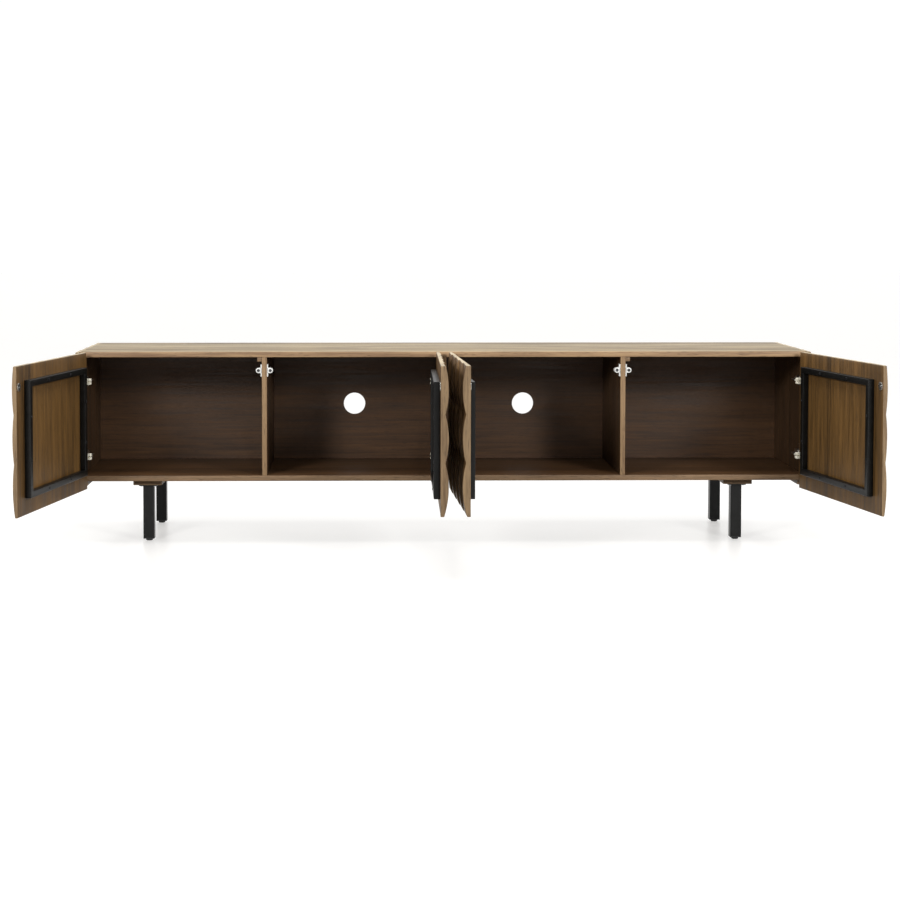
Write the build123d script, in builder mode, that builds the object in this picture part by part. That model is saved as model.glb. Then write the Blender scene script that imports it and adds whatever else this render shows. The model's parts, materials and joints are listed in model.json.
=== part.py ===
from build123d import *
import os
from math import cos, radians, sin, sqrt

# A low television cabinet with four carved hardwood doors on four square steel legs.
# Millimetres. X runs to the right, Y to the back and Z up. The origin is on the floor, under the
# middle of the whole box with the doors standing open, as the cabinet is stored here.

os.makedirs("parts", exist_ok=True)

# ---- driving dimensions: carcass ----
inner_half_width = 979.0  # middle of the cabinet to a side panel's inner face
cabinet_height = 520.0
carcass_depth = 385.0  # front edges of the boards to the back of the cabinet
board = 15.0  # top and bottom boards
divider = 14.0
divider_offset = 484.0  # middle of the cabinet to the middle of an outer divider
ground_clearance = 170.0  # floor to the underside of the bottom board
inside_depth = 361.0
back_thickness = 6.0
back_screw_shares = (0.12, 0.5, 0.88)  # up each divider
cable_hole_radius = 31.0
cable_hole_offset = 244.0

# ---- driving dimensions: carved boards ----
door_thickness = 20.0
side_crown = 21.0  # crown thickness of the side panels
thin_side = 12.0  # crown thickness where a carved column ends
thick_notch = 12.0
thin_notch = 8.5
rows = 3
row_run_on = 11.0  # a door's bottom row runs on this far along its arc
door_columns = 5
side_columns = 4

# ---- driving dimensions: doors ----
door_gap = 3.0  # between neighbouring doors
side_gap = 2.0  # door edge to the side panel
front_gap = 2.0  # closed door to the front edges of the boards
door_bottom_drop = 17.0  # door bottom below the bottom board
side_drop = 1.5  # side panel's bottom below the doors
left_outer_door_open = 100.7  # degrees from closed, as stored
left_inner_door_open = 89.1
right_inner_door_open = 87.3
right_outer_door_open = 99.8

# ---- driving dimensions: steel frame on a door's inner face ----
tube = 16.0
tube_wall = 1.5
frame_hinge_margin = 40.0
frame_free_margin = 48.0
frame_top_margin = 37.0
frame_bottom_margin = 42.0
inner_frame_drop = 6.0  # the middle doors' frames sit this much lower
frame_screw_shares = (0.3, 0.7)  # along each tube
frame_screw_bite = 6.0  # into the door

# ---- driving dimensions: legs ----
leg_tube = 30.0
leg_wall = 2.0
leg_offset = 803.0
front_leg_y = 62.0  # behind the boards' front edges
back_leg_y = 355.0
leg_plate = 50.0
leg_plate_thickness = 3.0
batten_width = 78.0
batten_thickness = 15.0
batten_front = 30.0
batten_back = 382.0
cleat = 15.0
cleat_end_gap = 20.0
glide_radius = 9.5
glide_height = 8.0
glide_plug = 12.0
glide_rim = 2.0
plate_screw_step = 18.5  # middle of a leg plate to its screws, each way
plate_corner = 4.0
tube_corner = 3.0
tube_inner_corner = 1.0
glide_chamfer = 1.5

# ---- driving dimensions: hinges ----
hinge_drop = 77.0  # upper hinge below the cabinet's top
hinge_rise = 57.0  # lower hinge above the bottom board
cup_radius = 13.0
cup_depth = 10.0
cup_wall = 1.0
cup_inset = 22.5  # door's hinge edge to the middle of the cup
flange = 1.2
flange_width = 12.0
cup_rim = 1.0  # flange's round part stands this far outside the cup
cup_screw_gap = 3.0  # cup's side to the middle of a screw
flange_end = 5.0  # middle of a screw to the flange's end
cover_near = 7.0
cover_far = 20.5
cover_height = 15.0
cover_half_width = 8.0
cover_slot = 3.6
leaf = 2.4
leaf_near = 20.5
leaf_far = 29.5
leaf_reach = 9.0  # in front of the boards' front edges, inside the cup when closed
arm_front = 22.0
arm_back = 62.0
arm_depth = 11.0
arm_width = 13.0
hinge_plate = 2.0
hinge_plate_front = 28.0
hinge_plate_length = 30.0
hinge_plate_height = 44.0
hinge_plate_screw_step = 16.0  # middle of the plate to its screws

# ---- driving dimensions: catches, strikes and small parts ----
catch_drop = 51.0  # catch middle below the cabinet's top
catch_plate = 3.0
catch_plate_height = 33.0
catch_depth = 22.0
catch_radius = 7.0
catch_sink = 1.0  # the round housing's side is sunk this far in its plate
catch_screw_margin = 4.0  # end of the catch's plate to its screws
magnet_radius = 4.0
magnet_length = 12.0
magnet_proud = 0.3
strike_radius = 10.0
strike_thickness = 1.5
strike_inset = 14.5  # door's free edge to the middle of the strike
stop_block = 12.0
stop_block_length = 30.0
stop_block_front = 3.0
catch_front = 0.5
fit = 0.05  # clearance round a screw's shank in its pilot hole
screw_top_share = 0.7  # top of a screw's head to its seat
slack = 0.3  # clearance round a part that drops into its recess

# ---- levels and places ----
opening_top = cabinet_height - board
opening_bottom = ground_clearance + board
door_bottom = ground_clearance - door_bottom_drop
side_bottom = door_bottom - side_drop
row_pitch = (cabinet_height - door_bottom - row_run_on) / rows
door_front = door_thickness + front_gap
outer_door_width = inner_half_width - side_gap - divider_offset - door_gap / 2
inner_door_width = divider_offset - door_gap
open_turns = [radians(angle) for angle in (left_outer_door_open, right_outer_door_open)]
open_reach = door_front + max(
    outer_door_width * sin(turn) - door_thickness * min(cos(turn), 0.0) for turn in open_turns
)
front = (open_reach - carcass_depth) / 2  # Y of the boards' front edges
back = front + carcass_depth
leg_top = ground_clearance - batten_thickness
cup_screw_step = cup_radius + cup_screw_gap
hinge_levels = (opening_bottom + hinge_rise, cabinet_height - hinge_drop)
catch_level = cabinet_height - catch_drop


def write(piece, name):
    """Label a finished piece and write it."""
    piece.part.label = name
    export_step(piece.part, f"parts/{name}.step")


def write_group(pieces, name):
    """Write touching solids of one node without melting them together."""
    group = Compound([piece.part for piece in pieces], label=name)
    export_step(group, f"parts/{name}.step")


class Hung:
    """A door's own axes: along its width from the hinge edge, and inward through it."""

    def __init__(self, hand, pivot_x, angle):
        self.hand = hand  # +1 hinged on its left, -1 on its right
        self.pivot = Vector(pivot_x, front - door_front, 0)
        self.along = Vector(hand * cos(radians(angle)), -sin(radians(angle)), 0)
        self.inward = Vector(hand * sin(radians(angle)), cos(radians(angle)), 0)

    def point(self, along, inward, up=0.0):
        return self.pivot + self.along * along + self.inward * inward + Vector(0, 0, up)

    def face(self, inward):
        """Plane parallel to the door's face; X along the door and Y up."""
        return Plane(self.point(0, inward), x_dir=self.along, z_dir=self.inward * -self.hand)

    def section(self, along):
        """Upright plane across the door; X inward and Y up."""
        return Plane(self.point(along, 0), x_dir=self.inward, z_dir=self.along * self.hand)

    def level(self, up):
        """Horizontal plane; X along the door and Y inward times the hand."""
        return Plane(self.point(0, 0, up), x_dir=self.along, z_dir=(0, 0, 1))

    def deep(self, depth):
        """Signed extrusion that carries a sketch on a face plane inward."""
        return -self.hand * depth


class Door:
    """One door: its name, its hand, its width and where it hangs, closed and as stored."""

    def __init__(self, name, hand, pivot_x, width, angle, thick_at_hinge, wall):
        self.name = name
        self.hand = hand
        self.width = width
        self.thick_at_hinge = thick_at_hinge
        self.wall = wall  # hinge pivot to the face that carries the hinge arms
        self.open = Hung(hand, pivot_x, angle)
        self.closed = Hung(hand, pivot_x, 0.0)


outer_pivot = inner_half_width - side_gap
inner_pivot = door_gap / 2
inner_wall = divider / 2 - inner_pivot
doors = (
    Door("door_1", 1, -outer_pivot, outer_door_width, left_outer_door_open, True, -side_gap),
    Door("door_2", -1, -inner_pivot, inner_door_width, left_inner_door_open, False, inner_wall),
    Door("door_3", 1, inner_pivot, inner_door_width, right_inner_door_open, False, inner_wall),
    Door("door_4", -1, outer_pivot, outer_door_width, right_outer_door_open, True, -side_gap),
)


# ---- shared shapes ----
def carved_section(plane, flat, side, crown, notch, low, high):
    """Section of a carved board: a flat face at flat and one arc for each row on its side."""
    scoop = crown - notch
    arc_radius = (row_pitch**2 / 4 + scoop**2) / (2 * scoop)
    lowest_crest = high - (rows - 0.5) * row_pitch
    tip = flat + side * (crown - arc_radius + sqrt(arc_radius**2 - (lowest_crest - low) ** 2))
    edge = flat + side * notch
    feet = [(edge, high - (i + 1) * row_pitch) for i in range(rows - 1)] + [(tip, low)]
    with BuildSketch(plane) as section:
        with BuildLine():
            Polyline((edge, high), (flat, high), (flat, low), (tip, low))
            start = (edge, high)
            for i, foot in enumerate(feet):
                crest = high - (i + 0.5) * row_pitch
                ThreePointArc(start, (flat + side * crown, crest), foot)
                start = foot
        make_face()
    return section.sketch


def block(x, y, z):
    """A plain board between pairs of limits."""
    with BuildPart(Plane((0, 0, z[0]))) as piece:
        with Locations(((x[0] + x[1]) / 2, (y[0] + y[1]) / 2)):
            Box(x[1] - x[0], y[1] - y[0], z[1] - z[0], align=(Align.CENTER, Align.CENTER, Align.MIN))
    return piece


def screw_group(planes, screw):
    """Screws whose heads stand on the planes and whose shanks go down behind them."""
    head_radius, head_height, shank_radius, length = screw
    with BuildPart() as group:
        with Locations(planes):
            Cone(head_radius, head_radius * screw_top_share, head_height,
                 align=(Align.CENTER, Align.CENTER, Align.MIN))
            Cylinder(shank_radius, length, align=(Align.CENTER, Align.CENTER, Align.MAX))
    return group


def drill(planes, radius, depth):
    """Holes that start on the planes and go down behind them, cut in the part being built."""
    with Locations(planes):
        Cylinder(radius, depth, align=(Align.CENTER, Align.CENTER, Align.MAX), mode=Mode.SUBTRACT)


# ---- screws: head radius, head height, shank radius, shank length ----
frame_screw = (3.0, 1.5, 1.75, tube + frame_screw_bite)
small_screw = (2.6, 1.0, 1.4, 6.5)
leg_screw = (4.5, 2.0, 2.2, 13.0)
back_screw = (3.0, 1.5, 1.5, 16.0)

frame_inner_face = door_thickness + tube


def frame_corners(door, inset):
    """Corners of the steel frame in the door's face, stepped in by inset."""
    near = frame_hinge_margin + inset
    far = door.width - frame_free_margin - inset
    drop = 0.0 if door.thick_at_hinge else inner_frame_drop
    low = door_bottom + frame_bottom_margin - drop + inset
    high = cabinet_height - frame_top_margin - drop - inset
    return [(near, low), (far, low), (far, high), (near, high)]


def frame_screw_planes(door):
    """Two screws on the middle line of each tube, with their heads on its inner face."""
    corners = frame_corners(door, tube / 2)
    planes = []
    for i in range(4):
        start, end = Vector(*corners[i]), Vector(*corners[(i + 1) % 4])
        for share in frame_screw_shares:
            spot = start + (end - start) * share
            planes.append(Plane(door.open.point(spot.X, frame_inner_face, spot.Y), z_dir=door.open.inward))
    return planes


def cup_screw_planes(door):
    """Two screws for each hinge cup, with their heads on its flange."""
    return [
        Plane(
            door.open.point(cup_inset, door_thickness + flange, level + side * cup_screw_step),
            z_dir=door.open.inward,
        )
        for level in hinge_levels
        for side in (-1, 1)
    ]


def strike_screw_plane(door):
    """The screw in the middle of the strike, with its head let in flush."""
    seat = door_thickness + strike_thickness - small_screw[1]
    spot = door.open.point(door.width - strike_inset, seat, catch_level)
    return Plane(spot, z_dir=door.open.inward)


def arm_screw_planes(door):
    """Two screws for each hinge arm's plate, with their heads on the plate."""
    middle = door_front + hinge_plate_front + hinge_plate_length / 2
    return [
        Plane(door.closed.point(door.wall + hinge_plate, middle, level + side * hinge_plate_screw_step),
              z_dir=door.closed.along)
        for level in hinge_levels
        for side in (-1, 1)
    ]


# ---- carcass ----
top_board = block((-inner_half_width, inner_half_width), (front, back), (opening_top, cabinet_height))
write(top_board, "top_board")

bottom_board = block((-inner_half_width, inner_half_width), (front, back), (ground_clearance, opening_bottom))
write(bottom_board, "bottom_board")

back_face = front + inside_depth

side_front = front - door_front
outer_arm_screws = {
    "left_side_panel": arm_screw_planes(doors[0]),
    "right_side_panel": arm_screw_planes(doors[3]),
}
for label, side in (("left_side_panel", -1), ("right_side_panel", 1)):
    pitch = (back - side_front) / side_columns
    flat = side * inner_half_width
    with BuildPart() as side_panel:
        for column in range(side_columns):
            near = Plane((0, side_front + column * pitch, 0), x_dir=(1, 0, 0), z_dir=(0, -1, 0))
            far = near.offset(-pitch)
            sections = [
                carved_section(near, flat, side, thin_side, thin_notch, side_bottom, cabinet_height),
                carved_section(far, flat, side, side_crown, thick_notch, side_bottom, cabinet_height),
            ]
            loft(sections, ruled=True)
        drill(outer_arm_screws[label], small_screw[2] + fit, small_screw[3] + fit)
    write(side_panel, label)

for label, side in (("left_cleat", -1), ("right_cleat", 1)):
    edges = sorted((side * inner_half_width, side * (inner_half_width - cleat)))
    strip = block(edges, (front + cleat_end_gap, back - cleat_end_gap), (leg_top, ground_clearance))
    write(strip, label)

stop_x = divider_offset + divider / 2 + stop_block / 2
stop_y = front + stop_block_front + stop_block_length / 2
with BuildPart(Plane((0, 0, opening_top))) as stop_blocks:
    with Locations((-stop_x, stop_y), (stop_x, stop_y)):
        Box(stop_block, stop_block_length, stop_block, align=(Align.CENTER, Align.CENTER, Align.MAX))
write(stop_blocks, "stop_blocks")

# ---- catches on both faces of the outer dividers ----
catch_faces = [
    (middle + side * divider / 2, side) for middle in (-divider_offset, divider_offset) for side in (-1, 1)
]
catch_axis = catch_plate + catch_radius - catch_sink  # divider's face to the middle of the magnet
catch_screw_step = catch_plate_height / 2 - catch_screw_margin
catch_screws_y = front + catch_front + catch_depth / 2
catch_screw_planes = [
    Plane(
        (face_x + side * catch_plate, catch_screws_y, catch_level + step * catch_screw_step),
        z_dir=(side, 0, 0),
    )
    for face_x, side in catch_faces
    for step in (-1, 1)
]
with BuildPart() as catches:
    for face_x, side in catch_faces:
        magnet_x = face_x + side * catch_axis
        with BuildSketch(Plane.XZ.offset(-(front + catch_front))) as outline:
            with Locations((face_x + side * catch_plate / 2, catch_level)):
                Rectangle(catch_plate, catch_plate_height)
            with Locations(((face_x + magnet_x) / 2, catch_level)):
                Rectangle(catch_axis, 2 * catch_radius)
            with Locations((magnet_x, catch_level)):
                Circle(catch_radius)
                Circle(magnet_radius + slack, mode=Mode.SUBTRACT)
        extrude(amount=-catch_depth)
    drill(catch_screw_planes, small_screw[2] + fit, small_screw[3])
write(catches, "catch_housings")

with BuildPart() as magnets:
    with BuildSketch(Plane.XZ.offset(-(front + catch_front - magnet_proud))):
        with Locations([(face_x + side * catch_axis, catch_level) for face_x, side in catch_faces]):
            Circle(magnet_radius)
    extrude(amount=-(magnet_length + magnet_proud))
write(magnets, "catch_magnets")
write(screw_group(catch_screw_planes, small_screw), "catch_screws")

# ---- dividers and the screws in their back edges ----
back_screw_levels = [
    opening_bottom + share * (opening_top - opening_bottom) for share in back_screw_shares
]
divider_middles = (-divider_offset, 0.0, divider_offset)
back_screw_planes = [
    Plane((middle, back_face + back_thickness, level), z_dir=(0, 1, 0))
    for middle in divider_middles
    for level in back_screw_levels
]
side_screws = catch_screw_planes + arm_screw_planes(doors[1]) + arm_screw_planes(doors[2])
for label, middle in zip(("left_divider", "centre_divider", "right_divider"), divider_middles):
    with BuildPart(Plane((middle, (front + back_face) / 2, opening_bottom))) as upright:
        Box(divider, inside_depth, opening_top - opening_bottom,
            align=(Align.CENTER, Align.CENTER, Align.MIN))
        near_screws = [plane for plane in side_screws if abs(plane.origin.X - middle) < divider]
        own_screws = [plane for plane in back_screw_planes if abs(plane.origin.X - middle) < divider]
    with BuildPart() as drilled:
        add(upright.part)
        drill(near_screws, small_screw[2] + fit, small_screw[3] + fit)
        drill(own_screws, back_screw[2] + fit, back_screw[3] + fit)
    write(drilled, label)
write(screw_group(back_screw_planes, back_screw), "back_screws")

with BuildPart() as back_panel:
    with BuildSketch(Plane.XZ.offset(-back_face)):
        with Locations((0, (opening_top + opening_bottom) / 2)):
            Rectangle(2 * inner_half_width, opening_top - opening_bottom)
            with GridLocations(2 * cable_hole_offset, 0, 2, 1):
                Circle(cable_hole_radius, mode=Mode.SUBTRACT)
    extrude(amount=-back_thickness)
    drill(back_screw_planes, back_screw[2] + fit, back_thickness)
write(back_panel, "back_panel")

# ---- legs ----
leg_places = [(side * leg_offset, front + depth) for side in (-1, 1) for depth in (front_leg_y, back_leg_y)]
under_plate = leg_top - leg_plate_thickness
leg_screw_planes = [
    Plane((x + sx * plate_screw_step, y + sy * plate_screw_step, under_plate), z_dir=(0, 0, -1))
    for x, y in leg_places
    for sx in (-1, 1)
    for sy in (-1, 1)
]
write(screw_group(leg_screw_planes, leg_screw), "leg_screws")

for label, side in (("left_batten", -1), ("right_batten", 1)):
    middle = side * leg_offset
    edges = (middle - batten_width / 2, middle + batten_width / 2)
    bare = block(edges, (front + batten_front, front + batten_back), (leg_top, ground_clearance))
    with BuildPart() as batten:
        add(bare.part)
        drill([plane for plane in leg_screw_planes if plane.origin.X * side > 0],
              leg_screw[2] + fit, leg_screw[3] + fit)
    write(batten, label)

leg_bore = leg_tube - 2 * leg_wall
leg_names = ("front_left_leg", "back_left_leg", "front_right_leg", "back_right_leg")
for label, place in zip(leg_names, leg_places):
    with BuildPart() as leg:
        with BuildSketch(Plane((*place, leg_top))):
            RectangleRounded(leg_plate, leg_plate, plate_corner)
            with GridLocations(2 * plate_screw_step, 2 * plate_screw_step, 2, 2):
                Circle(leg_screw[2] + slack, mode=Mode.SUBTRACT)
        extrude(amount=-leg_plate_thickness)
        with BuildSketch(Plane((*place, under_plate))):
            RectangleRounded(leg_tube, leg_tube, tube_corner)
            RectangleRounded(leg_bore, leg_bore, tube_inner_corner, mode=Mode.SUBTRACT)
        extrude(amount=-(under_plate - glide_height))
    write(leg, label)

plug_side = leg_bore - 2 * slack
with BuildPart() as glides:
    with BuildSketch():
        with Locations(leg_places):
            Circle(glide_radius)
    extrude(amount=glide_height - glide_rim)
    chamfer(glides.faces().group_by(Axis.Z)[0].edges(), glide_chamfer)
    with BuildSketch(Plane.XY.offset(glide_height - glide_rim)):
        with Locations(leg_places):
            RectangleRounded(leg_tube, leg_tube, tube_corner)
    extrude(amount=glide_rim)
    with BuildSketch(Plane.XY.offset(glide_height)):
        with Locations(leg_places):
            RectangleRounded(plug_side, plug_side, tube_inner_corner)
    extrude(amount=glide_plug)
write(glides, "leg_glides")


# ---- hinge arms, screwed to the side panels and to the centre divider ----
def hinge_arms(door):
    """Two arms: a plate on the wall, a channel over it and a leaf that reaches to the cup."""
    start = door.wall + hinge_plate
    with BuildPart() as arms:
        for level in hinge_levels:
            for near, far, first, last, width in (
                (door.wall, start, hinge_plate_front, hinge_plate_front + hinge_plate_length,
                 hinge_plate_height),
                (start, start + arm_depth, arm_front, arm_back, arm_width),
                (start + arm_depth / 2, leaf_far, arm_front, arm_front + leaf_far - leaf_near, leaf),
                (leaf_near, leaf_far, -leaf_reach, arm_front + leaf_far - leaf_near, leaf),
            ):
                with BuildSketch(door.closed.face(door_front + first)):
                    with Locations(((near + far) / 2, level)):
                        Rectangle(far - near, width)
                extrude(amount=door.closed.deep(last - first))
        drill(arm_screw_planes(door), small_screw[2] + slack, hinge_plate)
    return arms


for door in doors:
    write(hinge_arms(door), f"{door.name}_hinge_arms")
all_arm_screws = [plane for door in doors for plane in arm_screw_planes(door)]
write(screw_group(all_arm_screws, small_screw), "hinge_arm_screws")


# ---- doors ----
def door_panel(door):
    """Carved board: columns that fall from thick to thin, with a step between neighbours."""
    pitch = door.width / door_columns
    hung = door.open
    with BuildPart() as panel:
        for column in range(door_columns):
            start, end = column * pitch, (column + 1) * pitch
            thick, thin = (start, end) if door.thick_at_hinge else (end, start)
            sections = [
                carved_section(hung.section(thick), door_thickness, -1, door_thickness, thick_notch,
                               door_bottom, cabinet_height),
                carved_section(hung.section(thin), door_thickness, -1, thin_side, thin_notch,
                               door_bottom, cabinet_height),
            ]
            loft(sections, ruled=True)
        with BuildSketch(hung.face(door_thickness)) as cups:
            with Locations([(cup_inset, level) for level in hinge_levels]):
                Circle(cup_radius)
        extrude(amount=hung.deep(-cup_depth), mode=Mode.SUBTRACT)
        drill(frame_screw_planes(door), frame_screw[2] + fit, frame_screw[3] + fit)
        drill(cup_screw_planes(door) + [strike_screw_plane(door)], small_screw[2] + fit, small_screw[3] + fit)
    return panel


def frame_tube(door, side):
    """One mitred length of square tube, open at its mitres."""
    next_side = (side + 1) % 4
    hung = door.open
    with BuildPart() as length:
        for skin, depth, mode in ((0.0, tube, Mode.ADD), (tube_wall, tube - 2 * tube_wall, Mode.SUBTRACT)):
            outer = frame_corners(door, skin)
            inner = frame_corners(door, tube - skin)
            with BuildSketch(hung.face(door_thickness + skin)) as outline:
                with BuildLine():
                    Polyline(outer[side], outer[next_side], inner[next_side], inner[side], close=True)
                make_face()
            extrude(amount=hung.deep(depth), mode=mode)
        drill(frame_screw_planes(door), frame_screw[2] + slack, tube)
    return length


def hinge_cups(door):
    """Pressed cups sunk in the door, each with a flange for two screws."""
    hung = door.open
    middles = [(cup_inset, level) for level in hinge_levels]
    with BuildPart() as cups:
        with BuildSketch(hung.face(door_thickness)):
            with Locations(middles):
                Circle(cup_radius + cup_rim)
                SlotOverall(2 * (cup_screw_step + flange_end), flange_width, rotation=90)
        extrude(amount=hung.deep(flange))
        with BuildSketch(hung.face(door_thickness - cup_depth)):
            with Locations(middles):
                Circle(cup_radius - 2 * fit)
        extrude(amount=hung.deep(cup_depth))
        with BuildSketch(hung.face(door_thickness - cup_depth + cup_wall)):
            with Locations(middles):
                Circle(cup_radius - 2 * fit - cup_wall)
        extrude(amount=hung.deep(cup_depth + flange), mode=Mode.SUBTRACT)
        drill(cup_screw_planes(door), small_screw[2] + slack, flange)
    return cups


def hinge_covers(door):
    """Two cheeks over each cup, one each side of the leaf that folds between them."""
    hung = door.open
    low = cover_slot / 2
    with BuildPart() as covers:
        for level in hinge_levels:
            for side in (-1, 1):
                with BuildSketch(hung.face(door_thickness + flange)):
                    with Locations(((cover_near + cover_far) / 2, level + side * (low + cover_half_width) / 2)):
                        Rectangle(cover_far - cover_near, cover_half_width - low)
                extrude(amount=hung.deep(cover_height))
    return covers


def strike(door):
    """Round steel strike that meets the magnet."""
    hung = door.open
    with BuildPart() as plate:
        with BuildSketch(hung.face(door_thickness)):
            with Locations((door.width - strike_inset, catch_level)):
                Circle(strike_radius)
        extrude(amount=hung.deep(strike_thickness))
        drill([strike_screw_plane(door).offset(small_screw[1])], small_screw[0] + slack, small_screw[1])
        drill([strike_screw_plane(door)], small_screw[2] + slack, strike_thickness)
    return plate


for door in doors:
    write(door_panel(door), f"{door.name}_panel")
    write_group([frame_tube(door, side) for side in range(4)], f"{door.name}_steel_frame")
    write(screw_group(frame_screw_planes(door), frame_screw), f"{door.name}_frame_screws")
    write(hinge_cups(door), f"{door.name}_hinge_cups")
    write(hinge_covers(door), f"{door.name}_hinge_covers")
    write(strike(door), f"{door.name}_strike")
    wood_screws = cup_screw_planes(door) + [strike_screw_plane(door)]
    write(screw_group(wood_screws, small_screw), f"{door.name}_wood_screws")
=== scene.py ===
"""A low television cabinet with four carved hardwood doors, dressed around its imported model. Metres."""

import json
from math import cos, pi, radians, sin

import bpy
import numpy as np
from mathutils import Matrix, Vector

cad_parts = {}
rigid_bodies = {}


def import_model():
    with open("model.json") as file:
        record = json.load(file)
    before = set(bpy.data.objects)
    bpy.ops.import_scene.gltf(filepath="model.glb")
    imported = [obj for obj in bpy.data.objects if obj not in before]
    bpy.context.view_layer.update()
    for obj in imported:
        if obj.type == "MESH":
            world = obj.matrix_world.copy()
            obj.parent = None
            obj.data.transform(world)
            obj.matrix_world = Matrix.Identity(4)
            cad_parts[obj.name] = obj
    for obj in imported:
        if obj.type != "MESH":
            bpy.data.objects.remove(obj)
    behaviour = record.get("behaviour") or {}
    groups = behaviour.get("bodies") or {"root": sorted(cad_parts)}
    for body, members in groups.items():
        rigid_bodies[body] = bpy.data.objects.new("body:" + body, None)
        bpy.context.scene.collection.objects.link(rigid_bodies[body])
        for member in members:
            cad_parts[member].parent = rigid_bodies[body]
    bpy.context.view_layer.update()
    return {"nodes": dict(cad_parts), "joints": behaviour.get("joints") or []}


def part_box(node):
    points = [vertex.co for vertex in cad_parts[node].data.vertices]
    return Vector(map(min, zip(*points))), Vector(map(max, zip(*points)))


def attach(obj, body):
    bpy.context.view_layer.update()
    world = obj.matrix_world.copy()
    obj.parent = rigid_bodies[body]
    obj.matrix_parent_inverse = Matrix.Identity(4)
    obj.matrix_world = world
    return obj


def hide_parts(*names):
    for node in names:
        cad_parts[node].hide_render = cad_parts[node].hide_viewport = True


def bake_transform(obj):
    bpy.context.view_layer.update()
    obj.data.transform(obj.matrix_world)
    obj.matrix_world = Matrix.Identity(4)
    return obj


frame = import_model()

MM = 0.001
RIGHT, BACK, UP = np.eye(3)
DOORS = (1, 2, 3, 4)
OUTER_DOORS = (1, 4)

# ---- the carving, as the boards are cut ----
ROWS = 3
RUN_ON = 11 * MM  # the bottom row's arc runs on this far
DOOR_COLUMNS = 5
SIDE_COLUMNS = 4  # each is a plank of its own
THIN_CREST = 12 * MM
THICK_NOTCH = 12 * MM
THIN_NOTCH = 8.5 * MM
WORN = 0.7 * MM  # how far sanding has rounded the carving's crests and notches
GOUGE = 0.09 * MM  # height of the marks that the gouge left
GOUGE_MARK = (2.1 * MM, 7 * MM)  # their size along and up, over 2 pi
GOUGE_WANDER = (31 * MM, 47 * MM)  # how slowly they wander, over 2 pi
CARVED_STEP = (7 * MM, 6 * MM)  # of the grid along and up, away from joints, notches and rims
NEAR_MARKS = (0.25 * MM, 0.55 * MM, 0.9 * MM, 1.5 * MM, 3.0 * MM)  # the grid's lines beside those
JOINT_DEPTH = 0.35 * MM
JOINT_WIDTH = 0.8 * MM

# ---- edges, tubes and fittings ----
BOARD_EASE = 1.3 * MM
PLASTIC_EASE = 1.4 * MM
METAL_EASE = 0.3 * MM
SHARP = radians(32)  # a crease of a larger angle is shaded as an edge
TUBE_CORNER = 1.6 * MM
SCREW_SHARES = (0.3, 0.7)  # along each tube of a door's frame
FRAME_SCREW = (3.0 * MM, 1.5 * MM, 1.75 * MM)  # head's radius and rise, shank's radius
FRAME_SCREW_BITE = 6 * MM  # below the tube, into the board
SMALL_SCREW = (2.6 * MM, 1.0 * MM, 1.4 * MM, 6.5 * MM)  # the same, and the length
CUP_SCREW_STEP = 16 * MM  # middle of a hinge cup to its screws
CUP_RADIUS = 12 * MM
CUP_WALL = 1 * MM
CUP_RIM = 1 * MM
CUP_OUTER = CUP_RADIUS + CUP_WALL
BORE_SLACK = 0.3 * MM  # round and under a cup
BORE_WALL = 0.1 * MM  # the bore's wall leans this much
BORE_MARGIN = 6 * MM  # the grid is drawn into rings this far outside a bore
FLANGE = 1.2 * MM
FLANGE_HALF_WIDTH = 6 * MM
FLANGE_HALF_LENGTH = 21 * MM
COVER_SLOT = 3.6 * MM
LEAF_MIDDLE = 25 * MM  # hinge pivot to the middle of an arm's leaf
LINK = 3 * MM
LINK_WIDTH = 7 * MM
LINK_CORNER = 0.6 * MM
LINK_TIP = 0.7  # size of a link's ends, as a share
LINK_BEND = (5 * MM, 17 * MM)  # from the hinge edge and off the door's face
LINK_DIP = 5 * MM  # how deep a link ends in its cup
STRIKE_DISH = 0.3 * MM
CATCH_BODY = 7 * MM  # radius of a housing's round side
CATCH_PLATE = 3 * MM
CATCH_EASE = 1.2 * MM
CATCH_BACK_EASE = 0.2 * MM
CATCH_PLATE_EASE = 0.8 * MM
MAGNET_EASE = 0.4 * MM
MAGNET_GAP = 0.3 * MM  # round a magnet in its housing
MAGNET_LIP = 0.7 * MM
MAGNET_WELL = 2 * MM

# ---- surroundings, by the direction that is looked in ----
HORIZON = (-0.06, -0.03)  # upward part, from the dark below to the sky
BELOW, SKY = 0.10, 1.03
FRONT_SHARE = 0.28  # of the strength at the back


# ---- camera, floor and light ----
def camera():
    """A long lens a little above the cabinet's top, looking slightly down."""
    data = bpy.data.cameras.new("camera")
    data.sensor_width = 36
    data.lens = 70.665
    data.shift_x = 0.0630
    data.shift_y = -0.1588
    eye = bpy.data.objects.new("camera", data)
    turned_to = Matrix.Rotation(radians(-0.8), 4, "Z") @ Matrix.Rotation(radians(90 - 2.5), 4, "X")
    eye.matrix_world = Matrix.Translation((-0.2029, -4.6875, 0.8475)) @ turned_to
    bpy.context.scene.collection.objects.link(eye)
    bpy.context.scene.camera = eye


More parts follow.
